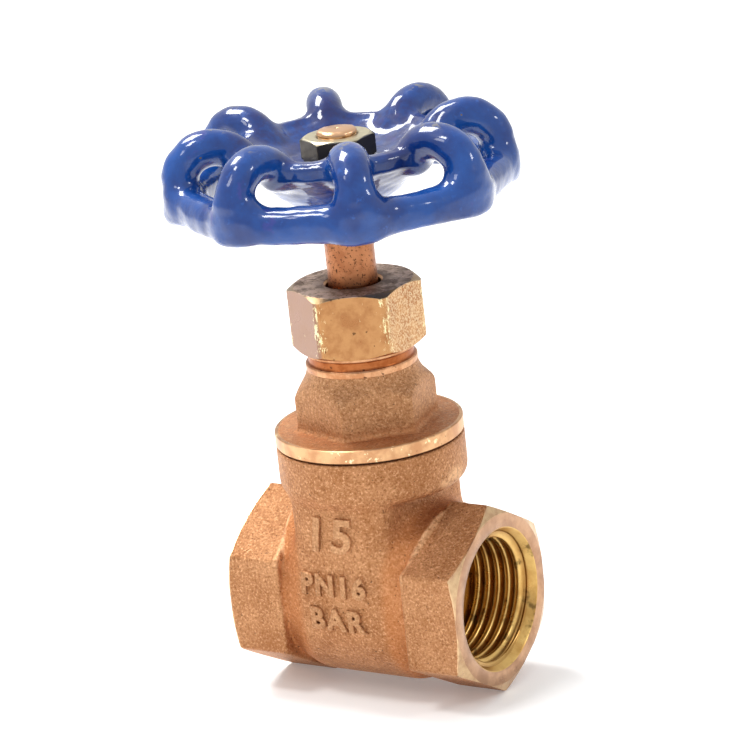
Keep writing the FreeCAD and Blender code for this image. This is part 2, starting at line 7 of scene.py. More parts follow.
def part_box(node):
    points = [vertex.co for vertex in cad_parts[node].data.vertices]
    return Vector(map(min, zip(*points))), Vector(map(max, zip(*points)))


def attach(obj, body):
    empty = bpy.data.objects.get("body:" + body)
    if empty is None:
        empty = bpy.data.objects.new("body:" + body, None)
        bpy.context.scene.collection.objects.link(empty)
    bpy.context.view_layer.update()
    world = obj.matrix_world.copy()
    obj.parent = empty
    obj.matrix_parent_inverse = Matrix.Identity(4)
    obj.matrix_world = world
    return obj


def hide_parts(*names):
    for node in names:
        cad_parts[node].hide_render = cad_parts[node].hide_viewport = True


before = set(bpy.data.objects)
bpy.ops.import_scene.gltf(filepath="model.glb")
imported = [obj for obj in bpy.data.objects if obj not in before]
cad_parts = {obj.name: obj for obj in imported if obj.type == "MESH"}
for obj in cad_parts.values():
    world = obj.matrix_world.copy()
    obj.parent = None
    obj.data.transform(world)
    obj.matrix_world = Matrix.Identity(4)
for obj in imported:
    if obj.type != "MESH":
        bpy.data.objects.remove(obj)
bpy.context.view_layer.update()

# ---------------------------------------------------------------------------------------------
# Valve body. Sand-cast bronze in one piece: two hexagon ports on a round waterway, a flat-sided
# middle that holds the gate, and a round collar for the bonnet. Shot-blasted, so every edge is
# soft and the skin is an even fine grain.

MM = 0.001


class Socket:
    """A value in a material's node tree; + - * / > and abs on it add Math nodes."""

    def __init__(self, finish, output):
        self.finish, self.output = finish, output

    def math(self, operation, left, right):
        return self.finish.node("ShaderNodeMath", {"operation": operation}, {0: left, 1: right})

    def __add__(self, other):
        return self.math("ADD", self, other)

    def __sub__(self, other):
        return self.math("SUBTRACT", self, other)

    def __mul__(self, other):
        return self.math("MULTIPLY", self, other)

    def __truediv__(self, other):
        return self.math("DIVIDE", self, other)

    def __rsub__(self, other):
        return self.math("SUBTRACT", other, self)

    def __gt__(self, other):
        return self.math("GREATER_THAN", self, other)

    def __abs__(self):
        return self.math("ABSOLUTE", self, 0.0)

    def square_root(self):
        return self.math("SQRT", self, 0.0)

    def at_least(self, least):
        return self.math("MAXIMUM", self, least)

    __radd__, __rmul__ = __add__, __mul__


class Finish:
    """A material with one Principled shader, built up node by node."""

    def __init__(self, name, **constants):
        self.material = bpy.data.materials.new(name)
        self.material.use_nodes = True
        self.tree = self.material.node_tree
        self.shader = self.tree.nodes["Principled BSDF"]
        for socket, value in constants.items():
            self.shader.inputs[socket.replace("_", " ")].default_value = value
        self.place = self.node("ShaderNodeTexCoord", {}, {}, "Object")

    def node(self, kind, settings, inputs, output=0):
        """Adds a node: its settings first, then the values or links of its sockets."""
        made = self.tree.nodes.new(kind)
        for key, value in settings.items():
            setattr(made, key, value)
        for key, value in inputs.items():
            if isinstance(value, Socket):
                self.tree.links.new(value.output, made.inputs[key])
            else:
                made.inputs[key].default_value = value
        return Socket(self, made.outputs[output])

    def noise(self, per_mm, detail=3.0, rough=0.5, where=None):
        """Noise in object space, with its scale in cells per millimetre."""
        inputs = {"Vector": where or self.place, "Scale": per_mm / MM, "Detail": detail, "Roughness": rough}
        return self.node("ShaderNodeTexNoise", {}, inputs)

    def stretched(self, along_z):
        """Object space with its height scaled, which draws noise out along Z or squeezes it."""
        return self.node("ShaderNodeMapping", {}, {"Vector": self.place, "Scale": (1.0, 1.0, along_z)})

    def ramp(self, value, low, high):
        """0 below low, 1 above high, smooth between."""
        settings = {"interpolation_type": "SMOOTHSTEP", "clamp": True}
        return self.node("ShaderNodeMapRange", settings, {"Value": value, "From Min": low, "From Max": high})

    def mix(self, mask, first, second):
        """first where mask is 0, second where it is 1; both are colours."""
        settings = {"data_type": "RGBA", "clamp_factor": True}
        return self.node("ShaderNodeMix", settings, {0: mask, 6: first, 7: second}, 2)

    def axis(self, letter):
        """Place along one axis, in millimetres."""
        return self.node("ShaderNodeSeparateXYZ", {}, {0: self.place}, letter) / MM

    def bump(self, height, strength, depth, under=None):
        """Bump of a 0 to 1 height, depth in millimetres."""
        inputs = {"Height": height, "Strength": strength, "Distance": depth * MM}
        if under:
            inputs["Normal"] = under
        return self.node("ShaderNodeBump", {}, inputs, "Normal")

    def paint(self, **links):
        for socket, value in links.items():
            self.tree.links.new(value.output, self.shader.inputs[socket.replace("_", " ")])
        return self.material


def colour(red, green, blue):
    return (red, green, blue, 1.0)


def smooth_union(a, b, blend):
    """The smaller of two distances, rounded off as a fillet where they come within blend."""
    h = np.clip(0.5 + 0.5 * (b - a) / blend, 0, 1)
    return b + (a - b) * h - blend * h * (1 - h)


def smooth_cut(a, b, blend):
    """The larger of two distances, rounded off as a worn edge where they come within blend."""
    return -smooth_union(-a, -b, blend)


def hexagon(across, along, flats, worn=0.45):
    """Distance outside a hexagon with two flats facing along the first coordinate's axis; worn is
    how far its corners are rounded."""
    slanted = 0.5 * np.abs(across) + math.sqrt(0.75) * np.abs(along)
    return smooth_cut(np.abs(across), slanted, worn) - flats / 2


def surface_of(field, low, high, step):
    """The skin of a solid given as a distance field: a grid is laid over its box, each cell that
    the skin crosses gets one corner at the mean of its crossed edges, and corners of cells round a
    crossed edge are joined. Newton steps then pull every corner onto the field's zero."""
    axes = [np.arange(a - 1.5 * step, b + 2.5 * step, step) for a, b in zip(low, high)]
    x, y, z = np.meshgrid(*axes, indexing="ij", sparse=True)
    value = np.broadcast_to(field(x, y, z), [len(a) for a in axes])
    inside = value < 0
    cells = [n - 1 for n in value.shape]
    total, count = np.zeros((*cells, 3)), np.zeros(cells)

    def window(dx, dy, dz):
        return value[dx:dx + cells[0], dy:dy + cells[1], dz:dz + cells[2]]

    for axis in range(3):
        others = [a for a in range(3) if a != axis]
        for first in (0, 1):
            for second in (0, 1):
                near = [0, 0, 0]
                near[others[0]], near[others[1]] = first, second
                far = list(near)
                far[axis] = 1
                a, b = window(*near), window(*far)
                crossed = (a < 0) != (b < 0)
                part = np.where(crossed, a / np.where(crossed, a - b, 1), 0)
                for k in range(3):
                    offset = part if k == axis else near[k]
                    total[..., k] += np.where(crossed, offset, 0)
                count += crossed
    used = count > 0
    number = np.full(cells, -1)
    number[used] = np.arange(used.sum())
    corner = np.argwhere(used) + total[used] / count[used][:, None]
    points = corner * step + np.array([a[0] for a in axes])
    for _ in range(4):
        px, py, pz = points.T
        here = field(px, py, pz)
        e = 0.02
        slope = np.stack([field(px + e, py, pz) - field(px - e, py, pz),
                          field(px, py + e, pz) - field(px, py - e, pz),
                          field(px, py, pz + e) - field(px, py, pz - e)], 1) / (2 * e)
        move = -here[:, None] * slope / np.maximum((slope ** 2).sum(1), 0.2)[:, None]
        points = points + np.clip(move, -0.4 * step, 0.4 * step)
    faces = []
    for axis in range(3):
        b, c = (axis + 1) % 3, (axis + 2) % 3
        start, stop = [slice(1, n) for n in cells], [slice(1, n) for n in cells]
        start[axis], stop[axis] = slice(0, cells[axis]), slice(1, cells[axis] + 1)
        a0, a1 = inside[tuple(start)], inside[tuple(stop)]
        around = []
        for back_b, back_c in ((1, 1), (0, 1), (0, 0), (1, 0)):
            pick = [slice(0, cells[axis])] * 3
            pick[b] = slice(1 - back_b, cells[b] - back_b)
            pick[c] = slice(1 - back_c, cells[c] - back_c)
            around.append(number[tuple(pick)])
        quad = np.stack(around, -1)
        faces += [quad[a0 & ~a1], quad[~a0 & a1][:, ::-1]]
    return points, np.concatenate(faces)


def mesh_piece(name, points, faces, body, finish, sharp=None):
    """A mesh in millimetres becomes a piece in metres that rides on a body."""
    mesh = bpy.data.meshes.new(name)
    mesh.from_pydata(points * MM, [], faces)
    mesh.polygons.foreach_set("use_smooth", np.ones(len(mesh.polygons), bool))
    if sharp:
        mesh.set_sharp_from_angle(angle=math.radians(sharp))
    mesh.update()
    made = bpy.data.objects.new(name, mesh)
    bpy.context.scene.collection.objects.link(made)
    made.data.materials.append(finish)
    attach(made, body)
    return made


body_low, body_high = (1000 * np.array(corner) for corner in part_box("valve_body"))
half_length = body_high[0]
collar_radius = body_high[1]
body_top = body_high[2]
PORT_FLATS = 26.5
PORT_HEX_LENGTH = 9.6
NECK_RADIUS = 12.4
MIDDLE_HALF = 8.9
MIDDLE_SIDE = 13.3
COLLAR_HEIGHT = 7.4
PORT_THREAD_RADIUS = 10.48
PORT_THREAD_DEPTH = 11.0
FACE_RADIUS = 13.38
CHAMFER_SLOPE = 2.5
CAP_DEPTH = 0.12
SHOULDER_LEAN = 0.28
SHOULDER_LIFT = 2.0
SHOULDER_FILLET = 0.6
SLAB_FILLET = 3.0
COLLAR_FILLET = 1.0
PORT_FILLET = 0.6
EDGE_WORN = 0.5
CHAMBER_END = 6.8
CHAMBER_SIDE = 10.3
CHAMBER_TOP = 19.0
BORE_WALL = 11.7
SEAT_WALL = 7.2
SOCKET_WALL = 12.6


def body_field(x, y, z):
    """Hexagon ports whose inner ends lean outwards at the top, round necks with a fuller shoulder
    above, a slab with a round foot, and the collar, joined with fillets; then the bores and the
    gate chamber are cut out."""
    r = np.hypot(y, z)
    r_up = np.hypot(x, y)
    far = np.abs(x)
    hex_start = half_length - PORT_HEX_LENGTH
    lean = SHOULDER_LEAN * np.maximum(z - PORT_FLATS / 2 * math.tan(math.pi / 6), 0)
    port = smooth_cut(hexagon(y, z, PORT_FLATS), hex_start + lean - far, EDGE_WORN)
    shoulder = smooth_cut(np.hypot(y, z - SHOULDER_LIFT) - NECK_RADIUS, far - hex_start - lean - 0.4,
                          EDGE_WORN)
    neck = np.maximum(r - NECK_RADIUS, far - hex_start - 1)
    side = np.where(z > 0, np.abs(y), r) - MIDDLE_SIDE
    slab = smooth_cut(smooth_cut(side, far - MIDDLE_HALF, 2.2), r_up - collar_radius + 0.4, 1.6)
    slab = np.maximum(slab, z - (body_top - 1))
    collar_foot = body_top - COLLAR_HEIGHT
    collar = smooth_cut(smooth_cut(r_up - collar_radius, collar_foot - z, 2.4), z - body_top, 0.25)
    solid = smooth_union(slab, smooth_union(neck, shoulder, SHOULDER_FILLET), SLAB_FILLET)
    solid = smooth_union(smooth_union(solid, collar, COLLAR_FILLET), port, PORT_FILLET)
    flat = far - half_length + CAP_DEPTH
    cone = (r - FACE_RADIUS + CHAMFER_SLOPE * flat) / math.hypot(1, CHAMFER_SLOPE)
    solid = np.maximum(solid, np.maximum(flat, cone))
    bore = np.maximum(r - BORE_WALL, half_length - PORT_THREAD_DEPTH - 1.0 - far)
    chamber = np.maximum(np.maximum(np.where(z > 0, np.abs(y), r) - CHAMBER_SIDE, far - CHAMBER_END),
                         z - CHAMBER_TOP)
    hollow = np.minimum(np.minimum(bore, chamber), r - SEAT_WALL)
    socket = np.maximum(r_up - SOCKET_WALL, CHAMBER_TOP - 1.0 - z)
    return np.maximum(solid, -np.minimum(hollow, socket))


def cast_bronze(name, pale=0.0, foot=None):
    """Shot-blasted bronze: copper-orange, its blasted peaks paler and its hollows darker, which is
    partly rubbed wear and rust and partly a painted highlight and painted shade on the grain, with a
    few pinholes. pale moves it towards the greyer yellow of handled edges; just above the height
    foot, where a fillet keeps its casting skin, it is redder."""
    f = Finish(name, Metallic=1.0)
    cloud = f.noise(0.12, 4.0, 0.6)
    mottle = f.noise(0.8, 4.0, 0.7)
    blast = f.noise(2.5, 4.0, 0.72)
    tone = f.ramp(cloud * 0.6 + mottle * 0.4, 0.34, 0.66)
    base = f.mix(tone, colour(0.395, 0.170, 0.068), colour(0.57, 0.290, 0.137))
    # Pale flecks on the blasted peaks and dark flecks in the hollows: partly rubbed wear and rust, partly a
    # painted highlight and painted shade that bring out the grain.
    base = f.mix(f.ramp(blast, 0.52, 0.66) * 0.50, base, colour(0.95, 0.59, 0.33))
    base = f.mix(f.ramp(blast, 0.49, 0.33) * 0.70, base, colour(0.20, 0.068, 0.023))
    z = f.axis("Z")
    far = abs(f.axis("X"))
    rise = (z - PORT_FLATS / 2 * math.tan(math.pi / 6)).at_least(0.0)
    past = far - rise * SHOULDER_LEAN - (half_length - PORT_HEX_LENGTH)
    # Painted shade: darker and browner towards the bottom, standing in for the contact shadow and the dark
    # reflections near the floor.
    base = f.mix(f.ramp(z, 1.0, -15.0) * 0.30, base, colour(0.25, 0.095, 0.035))
    channel = f.ramp(past, -4.5, -2.5) * f.ramp(past, 0.15, -0.15) * f.ramp(z, 17.0, 13.0)
    base = f.mix(channel * 0.35, base, colour(0.60, 0.205, 0.062))
    # A pale line along the upper part of each hexagon's inner end: partly rubbed wear, partly a painted
    # highlight where the ridge catches light from above.
    rubbed = f.ramp(past, -0.35, 0.0) * f.ramp(past, 0.9, 0.35) * f.ramp(z, 5.0, 8.0)
    base = f.mix(rubbed * f.ramp(mottle, 0.35, 0.60) * 0.55, base, colour(1.0, 0.66, 0.38))
    if foot is not None:
        skin = f.ramp(z, foot + 2.2, foot + 0.5) * f.ramp(mottle, 0.25, 0.65)
        base = f.mix(skin * 0.55, base, colour(0.48, 0.155, 0.046))
    pits = f.ramp(f.noise(2.2, 1.0, 0.4), 0.72, 0.77)
    base = f.mix(pits * 0.75, base, colour(0.08, 0.04, 0.025))
    if pale:
        base = f.mix(f.ramp(blast, 0.2, 0.8) * pale + pale / 2, base, colour(0.62, 0.42, 0.24))
    coarse = f.bump(f.noise(0.7, 3.0, 0.6) - pits * 0.6, 0.4, 0.18)
    return f.paint(Base_Color=base, Roughness=f.ramp(mottle, 0.2, 0.8) * 0.14 + 0.42,
                   Normal=f.bump(blast, 1.0, 0.30, coarse))


bronze = cast_bronze("cast_bronze")
points, faces = surface_of(body_field, body_low, body_high, step=0.32)
casting = mesh_piece("body_casting", points, faces, "valve", bronze)
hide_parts("valve_body")

# Machined port ends. Each hexagon is faced and chamfered on a lathe, then bored and cut with a
# half-inch pipe thread; the cutter leaves pinkish faces and pale brass chamfers, and the thread's
# roots are darkened with painted shade so its crests stand out bright.

THREAD_PITCH = 1.814
THREAD_CREST = 9.35
MOUTH_RADIUS = 10.9
MOUTH_DEPTH = 1.3
THREAD_ROWS = 120
THREAD_FADE = 0.7
WATERWAY = 6.5
SEAT_FACE = 4.75
SEAT_RING = 7.6
SLEEVE_RADIUS = 12.0


def rounded_hexagon(angle, flats, corner):
    """Radius of a hexagon at each angle, flats facing 0 degrees, its corners eased inwards."""
    folded = (angle + math.pi / 6) % (math.pi / 3) - math.pi / 6
    return flats / 2 / np.cos(folded) - corner * np.exp(-((math.pi / 6 - np.abs(folded)) / 0.035) ** 2)


def turned_faces(rows, columns, closed=True):
    """Quads between neighbouring rows of a turned grid, and from the last row to the first."""
    row = np.arange(rows if closed else rows - 1)[:, None]
    column = np.arange(columns)[None, :]
    after, beside = (row + 1) % rows, (column + 1) % columns
    quads = [row * columns + column, row * columns + beside,
             after * columns + beside, after * columns + column]
    return np.stack(np.broadcast_arrays(*quads), -1).reshape(-1, 4)


def port_end(side):
    """The cutter's surfaces of one port as rings (x, radius), turned about the pipe axis: seat bore,
    shoulder, thread, mouth, face, chamfer out to the hexagon, and back inside the casting. In the
    thread the radius follows a rounded 55-degree profile that advances one pitch a turn."""
    columns = 288
    angle = np.arange(columns) / columns * 2 * math.pi
    edge = rounded_hexagon(angle, PORT_FLATS, 0.12)
    ring = np.ones(columns)
    end = half_length
    shoulder = end - PORT_THREAD_DEPTH
    rows = [(SEAT_FACE * ring, SEAT_RING * ring), (SEAT_FACE * ring, WATERWAY * ring)]
    rows += [((shoulder - 0.3) * ring, WATERWAY * ring), (shoulder * ring, (WATERWAY + 0.3) * ring)]
    rows += [(shoulder * ring, THREAD_CREST * ring)]
    thread_end = end - MOUTH_DEPTH
    for x in np.linspace(shoulder + 0.02, thread_end, THREAD_ROWS):
        phase = (x / THREAD_PITCH - side * angle / (2 * math.pi)) % 1.0
        wave = (0.5 - 0.5 * np.cos(2 * math.pi * phase)) ** 1.6
        flank = 0.5 + 0.5 * np.tanh(2.2 * (wave - 0.5)) / math.tanh(1.1)
        depth = PORT_THREAD_RADIUS - THREAD_CREST
        fade = np.clip((thread_end - x) / THREAD_FADE, 0, 1) ** 0.5
        radius = THREAD_CREST + depth * (1 - (1 - flank) * fade)
        rows.append((x * ring, radius))
    rows += [((thread_end + 0.05) * ring, (PORT_THREAD_RADIUS + 0.06) * ring)]
    rows += [((end - 0.10) * ring, (MOUTH_RADIUS + 0.14) * ring), (end * ring, (MOUTH_RADIUS + 0.28) * ring)]
    rows += [(end * ring, np.minimum(FACE_RADIUS, edge) - 0.10)]
    rows += [(end - 0.02 * ring, np.minimum(FACE_RADIUS, edge - 0.04))]
    rows += [(end - 0.06 * ring, np.minimum(FACE_RADIUS + 0.08, edge))]
    rim = end - 0.06 - np.maximum(edge - FACE_RADIUS - 0.08, 0) / CHAMFER_SLOPE
    rows += [(rim, edge), (rim - 0.2, edge - 0.004), (rim - 0.3, edge - 0.5)]
    rows += [((end - 3.0) * ring, SLEEVE_RADIUS * ring), (SEAT_FACE * ring, SLEEVE_RADIUS * ring)]
    x = np.array([row[0] for row in rows])
    r = np.array([row[1] for row in rows])
    points = np.stack([side * x, r * np.cos(angle), r * np.sin(angle)], -1).reshape(-1, 3)
    faces = turned_faces(len(rows), columns)
    return points, faces if side < 0 else faces[:, ::-1]


def cut_brass():
    """Fresh turned metal: pink on the face, pale gold on the chamfer, yellow in the bore, with
    fine tool lines and a few rubbed, oxidised patches."""
    f = Finish("cut_brass", Metallic=1.0)
    x, y, z = f.axis("X"), f.axis("Y"), f.axis("Z")
    radius = (y * y + z * z).square_root()
    far = abs(x)
    on_chamfer = (radius > FACE_RADIUS - 0.05)
    in_bore = f.ramp(radius, MOUTH_RADIUS + 0.31, MOUTH_RADIUS + 0.27)
    cloud = f.noise(0.25, 4.0, 0.6)
    face = f.mix(f.ramp(cloud, 0.35, 0.65), colour(0.37, 0.205, 0.118), colour(0.53, 0.315, 0.185))
    bore = f.mix(f.ramp(cloud, 0.40, 0.70), colour(0.72, 0.47, 0.16), colour(0.52, 0.29, 0.085))
    patches = f.ramp(f.noise(0.6, 3.0, 0.6), 0.35, 0.68)
    chamfer = f.mix(patches, colour(0.66, 0.46, 0.26), colour(0.52, 0.32, 0.18))
    in_thread = f.ramp(radius, MOUTH_RADIUS - 0.30, MOUTH_RADIUS - 0.40)
    # Painted shade: the thread's roots are darkened where its grooves lie in shade.
    thread_root_shade = f.ramp(radius, THREAD_CREST + 0.20, PORT_THREAD_RADIUS - 0.1) * in_thread
    bore = f.mix(thread_root_shade * 0.6, bore, colour(0.30, 0.14, 0.035))
    base = f.mix(on_chamfer, f.mix(in_bore, face, bore), chamfer)
    lines = f.node("ShaderNodeTexNoise", {"noise_dimensions": "1D"},
                   {"W": radius * 9.0 + far * 7.0, "Scale": 1.0, "Detail": 2.0})
    rough = f.ramp(f.noise(0.7, 3.0, 0.6), 0.3, 0.8) * 0.14 + 0.27
    outside = 1 - in_bore
    grease = f.ramp(f.noise(0.35, 3.0, 0.6), 0.58, 0.70) * in_bore
    base = f.mix(grease * 0.75, base, colour(0.10, 0.055, 0.02))
    skin = f.bump(f.noise(1.2, 3.0, 0.6) * outside, 0.3, 0.08, f.bump(lines * outside, 0.2, 0.02))
    return f.paint(Base_Color=base, Roughness=rough, Normal=skin)


brass = cut_brass()
for side, word in ((1, "right"), (-1, "left")):
    points, faces = port_end(side)
    mesh_piece(f"port_end_{word}", points, faces, "valve", brass, sharp=62)

# Cast marks. Nominal size and pressure stand up from the front of the body in soft, shallow
# letters, poured with it; blasting has rounded them and rubbing has paled their tops.

MARK_RISE = 0.46
MARK_BODY = 0.22
MARK_ROUND = 0.16
rubbed_bronze = cast_bronze("rubbed_bronze", pale=0.18)


def front_skin(x, z):
    """How far the front of the body stands out from the stem axis at a place across and up, found
    by halving the stretch of y in which the body's distance field changes sign."""
    inside, outside = np.full(x.shape, 9.0), np.full(x.shape, 16.0)
    for _ in range(18):
        middle = (inside + outside) / 2
        within = body_field(x, -middle, z) < 0
        inside, outside = np.where(within, middle, inside), np.where(within, outside, middle)
    return inside


def cast_mark(text, size, centre_x, centre_z, lean):
    """Letters as a flat curve with a rounded edge, wrapped onto the front of the body."""
    curve = bpy.data.curves.new(f"mark_{text.lower()}", "FONT")
    curve.body, curve.size = text, size
    curve.align_x, curve.align_y = "CENTER", "CENTER"
    curve.extrude, curve.bevel_depth, curve.bevel_resolution = MARK_BODY, MARK_ROUND, 2
    curve.offset, curve.shear, curve.space_character = 0.09, lean, 1.22
    curve.resolution_u = 6
    holder = bpy.data.objects.new("letters", curve)
    bpy.context.scene.collection.objects.link(holder)
    flat = bpy.data.meshes.new_from_object(holder)
    bpy.data.objects.remove(holder)
    local = np.zeros(len(flat.vertices) * 3)
    flat.vertices.foreach_get("co", local)
    across, up, out = local.reshape(-1, 3).T
    x, z = centre_x + across, centre_z + up
    points = np.stack([x, -(front_skin(x, z) + MARK_RISE - MARK_BODY - MARK_ROUND + out), z], 1)
    faces = [list(p.vertices) for p in flat.polygons]
    bpy.data.meshes.remove(flat)
    return mesh_piece(f"mark_{text.lower()}", points, faces, "valve", rubbed_bronze, sharp=50)


for text, size, x, z, lean in (("15", 7.6, -1.0, 12.8, 0.15), ("PN16", 4.5, -0.9, 4.7, 0.0),
                               ("BAR", 4.7, -0.7, -0.8, 0.0)):
    cast_mark(text, size, x, z, lean)

# Bonnet. A second bronze casting, screwed into the collar: a flange with a turned rim, a hexagon
# that flares into a round neck, and above it a machined lip, an undercut and the nut's thread.

nut_low, nut_high = (1000 * np.array(corner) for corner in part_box("packing_nut"))
gasket_top = 1000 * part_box("bonnet_gasket")[1][2]
FLANGE_HEIGHT = 1.9
BONNET_FLATS = 19.0
BONNET_TURN = math.radians(42 - 30)
NECK_FOOT = 36.6
NECK_RADIUS_TOP = 8.5
NECK_THREAD = 8.3
BELL_SLOPE = 1.0
BELL_TOP = 35.5
BONNET_BORE = 6.4
flange_top = gasket_top + FLANGE_HEIGHT


def bonnet_field(x, y, z):
    """A hexagon cut by a cone, on a thin disc; the joint between them is a small fillet."""
    r = np.hypot(x, y)
    turned_x = x * math.cos(BONNET_TURN) + y * math.sin(BONNET_TURN)
    turned_y = y * math.cos(BONNET_TURN) - x * math.sin(BONNET_TURN)
    cone = (r - NECK_RADIUS_TOP - BELL_SLOPE * (BELL_TOP - z)) / math.hypot(1, BELL_SLOPE)
    bell = smooth_union(cone, r - NECK_RADIUS_TOP, 1.5)
    sides = hexagon(turned_x, turned_y, BONNET_FLATS + 0.2, 0.25)
    flared = np.maximum(smooth_cut(sides, bell, 0.55), z - NECK_FOOT - 0.3)
    disc = np.maximum(r - collar_radius + 0.5, z - flange_top - 0.035 * (collar_radius - r))
    solid = smooth_union(flared, disc, 0.9)
    solid = np.maximum(solid, gasket_top + 0.5 - z)
    return np.maximum(solid, -(r - BONNET_BORE))


points, faces = surface_of(bonnet_field, (-15, -15, gasket_top), (15, 15, NECK_FOOT + 1), step=0.2)
bonnet_bronze = cast_bronze("bonnet_bronze", pale=0.11, foot=flange_top)
casting = mesh_piece("bonnet_casting", points, faces, "valve", bonnet_bronze)
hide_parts("bonnet")


def lathe(name, outline, body, finish, columns=192, sharp=28):
    """A closed outline of (radius, height) corners turned about the stem axis; each corner is a
    ring of points, and the last ring is joined to the first."""
    angle = np.arange(columns) / columns * 2 * math.pi
    r, z = np.array(outline, float).T
    points = np.stack([r[:, None] * np.cos(angle), r[:, None] * np.sin(angle),
                       np.repeat(z[:, None], columns, 1)], -1).reshape(-1, 3)
    return mesh_piece(name, points, turned_faces(len(outline), columns)[:, ::-1], body, finish, sharp)


def rubbed_brass(name, base_low, base_high, shine, rubbed=0.5):
    """Machined golden brass gone slightly dull, with bright yellow rubs and dark nicks."""
    f = Finish(name, Metallic=1.0)
    cloud = f.noise(0.35, 4.0, 0.6)
    base = f.mix(f.ramp(cloud, 0.35, 0.65), base_low, base_high)
    streak = f.noise(0.55, 5.0, 0.72)
    rubs = f.ramp(streak, 0.60, 0.64) * rubbed
    base = f.mix(rubs, base, colour(1.0, 0.86, 0.52))
    nicks = f.ramp(f.noise(1.2, 1.0, 0.5), 0.74, 0.78)
    base = f.mix(nicks * 0.8, base, colour(0.10, 0.05, 0.025))
    grain = f.noise(3.0, 3.0, 0.6)
    return f.paint(Base_Color=base, Roughness=f.ramp(cloud, 0.2, 0.8) * 0.15 + shine,
                   Normal=f.bump(grain, 0.35, 0.05, f.bump(rubs - nicks, 0.3, 0.05)))


rim_brass = rubbed_brass("rim_brass", colour(0.50, 0.25, 0.12), colour(0.70, 0.42, 0.215), 0.28, 0.8)
lathe("bonnet_rim", [(12.4, gasket_top), (14.0, gasket_top - 0.01), (14.1, gasket_top - 0.22),
                     (collar_radius - 0.12, gasket_top - 0.22), (collar_radius, gasket_top - 0.1),
                     (collar_radius, flange_top - 0.15), (collar_radius - 0.15, flange_top),
                     (13.2, flange_top), (13.0, flange_top - 0.6), (12.4, gasket_top + 0.6)],
      "valve", rim_brass)
lip, undercut = NECK_FOOT + 1.2, NECK_FOOT + 2.6
LIP_RADIUS = 8.64
UNDERCUT_RADIUS = 8.15
NECK_BORE = 6.2
neck = [(NECK_BORE, NECK_FOOT - 1), (NECK_THREAD - 0.3, NECK_FOOT - 0.2),
        (LIP_RADIUS - 0.06, NECK_FOOT + 0.15), (LIP_RADIUS, NECK_FOOT + 0.3),
        (LIP_RADIUS, lip - 0.2), (LIP_RADIUS - 0.15, lip),
        (UNDERCUT_RADIUS + 0.12, lip + 0.06), (UNDERCUT_RADIUS, lip + 0.25),
        (UNDERCUT_RADIUS, undercut - 0.25), (UNDERCUT_RADIUS + 0.12, undercut - 0.03),
        (LIP_RADIUS - 0.15, undercut + 0.02), (LIP_RADIUS - 0.03, undercut + 0.14),
        (LIP_RADIUS - 0.03, undercut + 0.55), (LIP_RADIUS - 0.2, undercut + 0.7),
        (NECK_THREAD, undercut + 0.75)]
thread_top = 1000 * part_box("bonnet")[1][2]
for turn in np.arange(undercut + 1.3, thread_top - 0.6, 1.0):
    neck += [(NECK_THREAD, turn), (NECK_THREAD - 0.5, turn + 0.45), (NECK_THREAD, turn + 0.9)]
neck += [(NECK_THREAD - 0.4, thread_top), (NECK_BORE, thread_top)]


def neck_bronze():
    """Turned bronze neck: pale on the lips, and dark red-orange in the undercut, which little rubs: partly
    oxide, partly painted shade under the packing nut.
    """
    f = Finish("neck_bronze", Metallic=1.0)
    z = f.axis("Z")
    cloud = f.noise(0.5, 4.0, 0.65)
    lips = f.mix(f.ramp(cloud, 0.40, 0.62), colour(0.45, 0.20, 0.09), colour(0.66, 0.36, 0.19))
    # The undercut's darker red-orange is partly oxide and partly painted shade under the packing nut.
    undercut_oxide_and_shade = f.mix(f.ramp(cloud, 0.35, 0.65), colour(0.28, 0.075, 0.02), colour(0.42, 0.14, 0.045))
    inside = f.ramp(z, lip - 0.02, lip + 0.10) * f.ramp(z, undercut + 0.05, undercut - 0.08)
    base = f.mix(inside, lips, undercut_oxide_and_shade)
    nicks = f.ramp(f.noise(1.2, 1.0, 0.5), 0.71, 0.75)
    base = f.mix(nicks * 0.8, base, colour(0.08, 0.03, 0.015))
    return f.paint(Base_Color=base, Roughness=f.ramp(cloud, 0.2, 0.8) * 0.16 + 0.30,
                   Normal=f.bump(f.noise(0.5, 3.0, 0.6, f.stretched(8.0)), 0.3, 0.04))


lathe("bonnet_neck", neck, "valve", neck_bronze())

# Screwed end of the bonnet, inside the collar, and the fibre gasket squeezed under the flange, of
# which only the dark edge shows.

lathe("bonnet_screw_end", [(10.3, 18.1), (12.0, 18.1), (12.2, 18.4), (12.2, gasket_top + 0.7),
                           (10.3, gasket_top + 0.7)], "valve", rim_brass)
fibre = Finish("gasket_fibre", Roughness=0.85)
weave = fibre.noise(2.0, 3.0, 0.6)
fibre.paint(Base_Color=fibre.mix(weave, colour(0.05, 0.03, 0.02), colour(0.14, 0.09, 0.06)),
            Normal=fibre.bump(weave, 0.5, 0.08))


def dress(node, finish):
    """Gives a CAD node's own mesh a finish."""
    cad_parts[node].data.materials.clear()
    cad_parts[node].data.materials.append(finish)


dress("bonnet_gasket", fibre.material)

# Inside the bonnet: the screwed ring that carries the stem's collar, three packing rings and the
# flanged gland, all turned or pressed to size. Below, the brass wedge.

inner_brass = rubbed_brass("inner_brass", colour(0.72, 0.48, 0.20), colour(0.88, 0.66, 0.33), 0.22, 0.3)
for node in ("stem_retaining_ring", "gland_follower", "wedge"):
    dress(node, inner_brass)
cord = Finish("packing_cord", Roughness=0.7)
strands = cord.noise(1.6, 4.0, 0.7)
cord.paint(Base_Color=cord.mix(strands, colour(0.015, 0.015, 0.017), colour(0.10, 0.10, 0.11)),
           Normal=cord.bump(strands, 0.8, 0.15))
for number in (1, 2, 3):
    dress(f"packing_ring_{number}", cord.material)

# Packing nut. Forged brass hexagon, faced and chamfered at both ends; its corners carry bright
# spanner rubs, and its top face has weathered to a dull grey-brown.

NUT_FLATS = 18.4
NUT_FACE = 9.2
NUT_CORNER = 10.33
NUT_SLOPE = 1.7
NUT_TURN = math.radians(28 - 30)
NUT_HOLE = 4.3


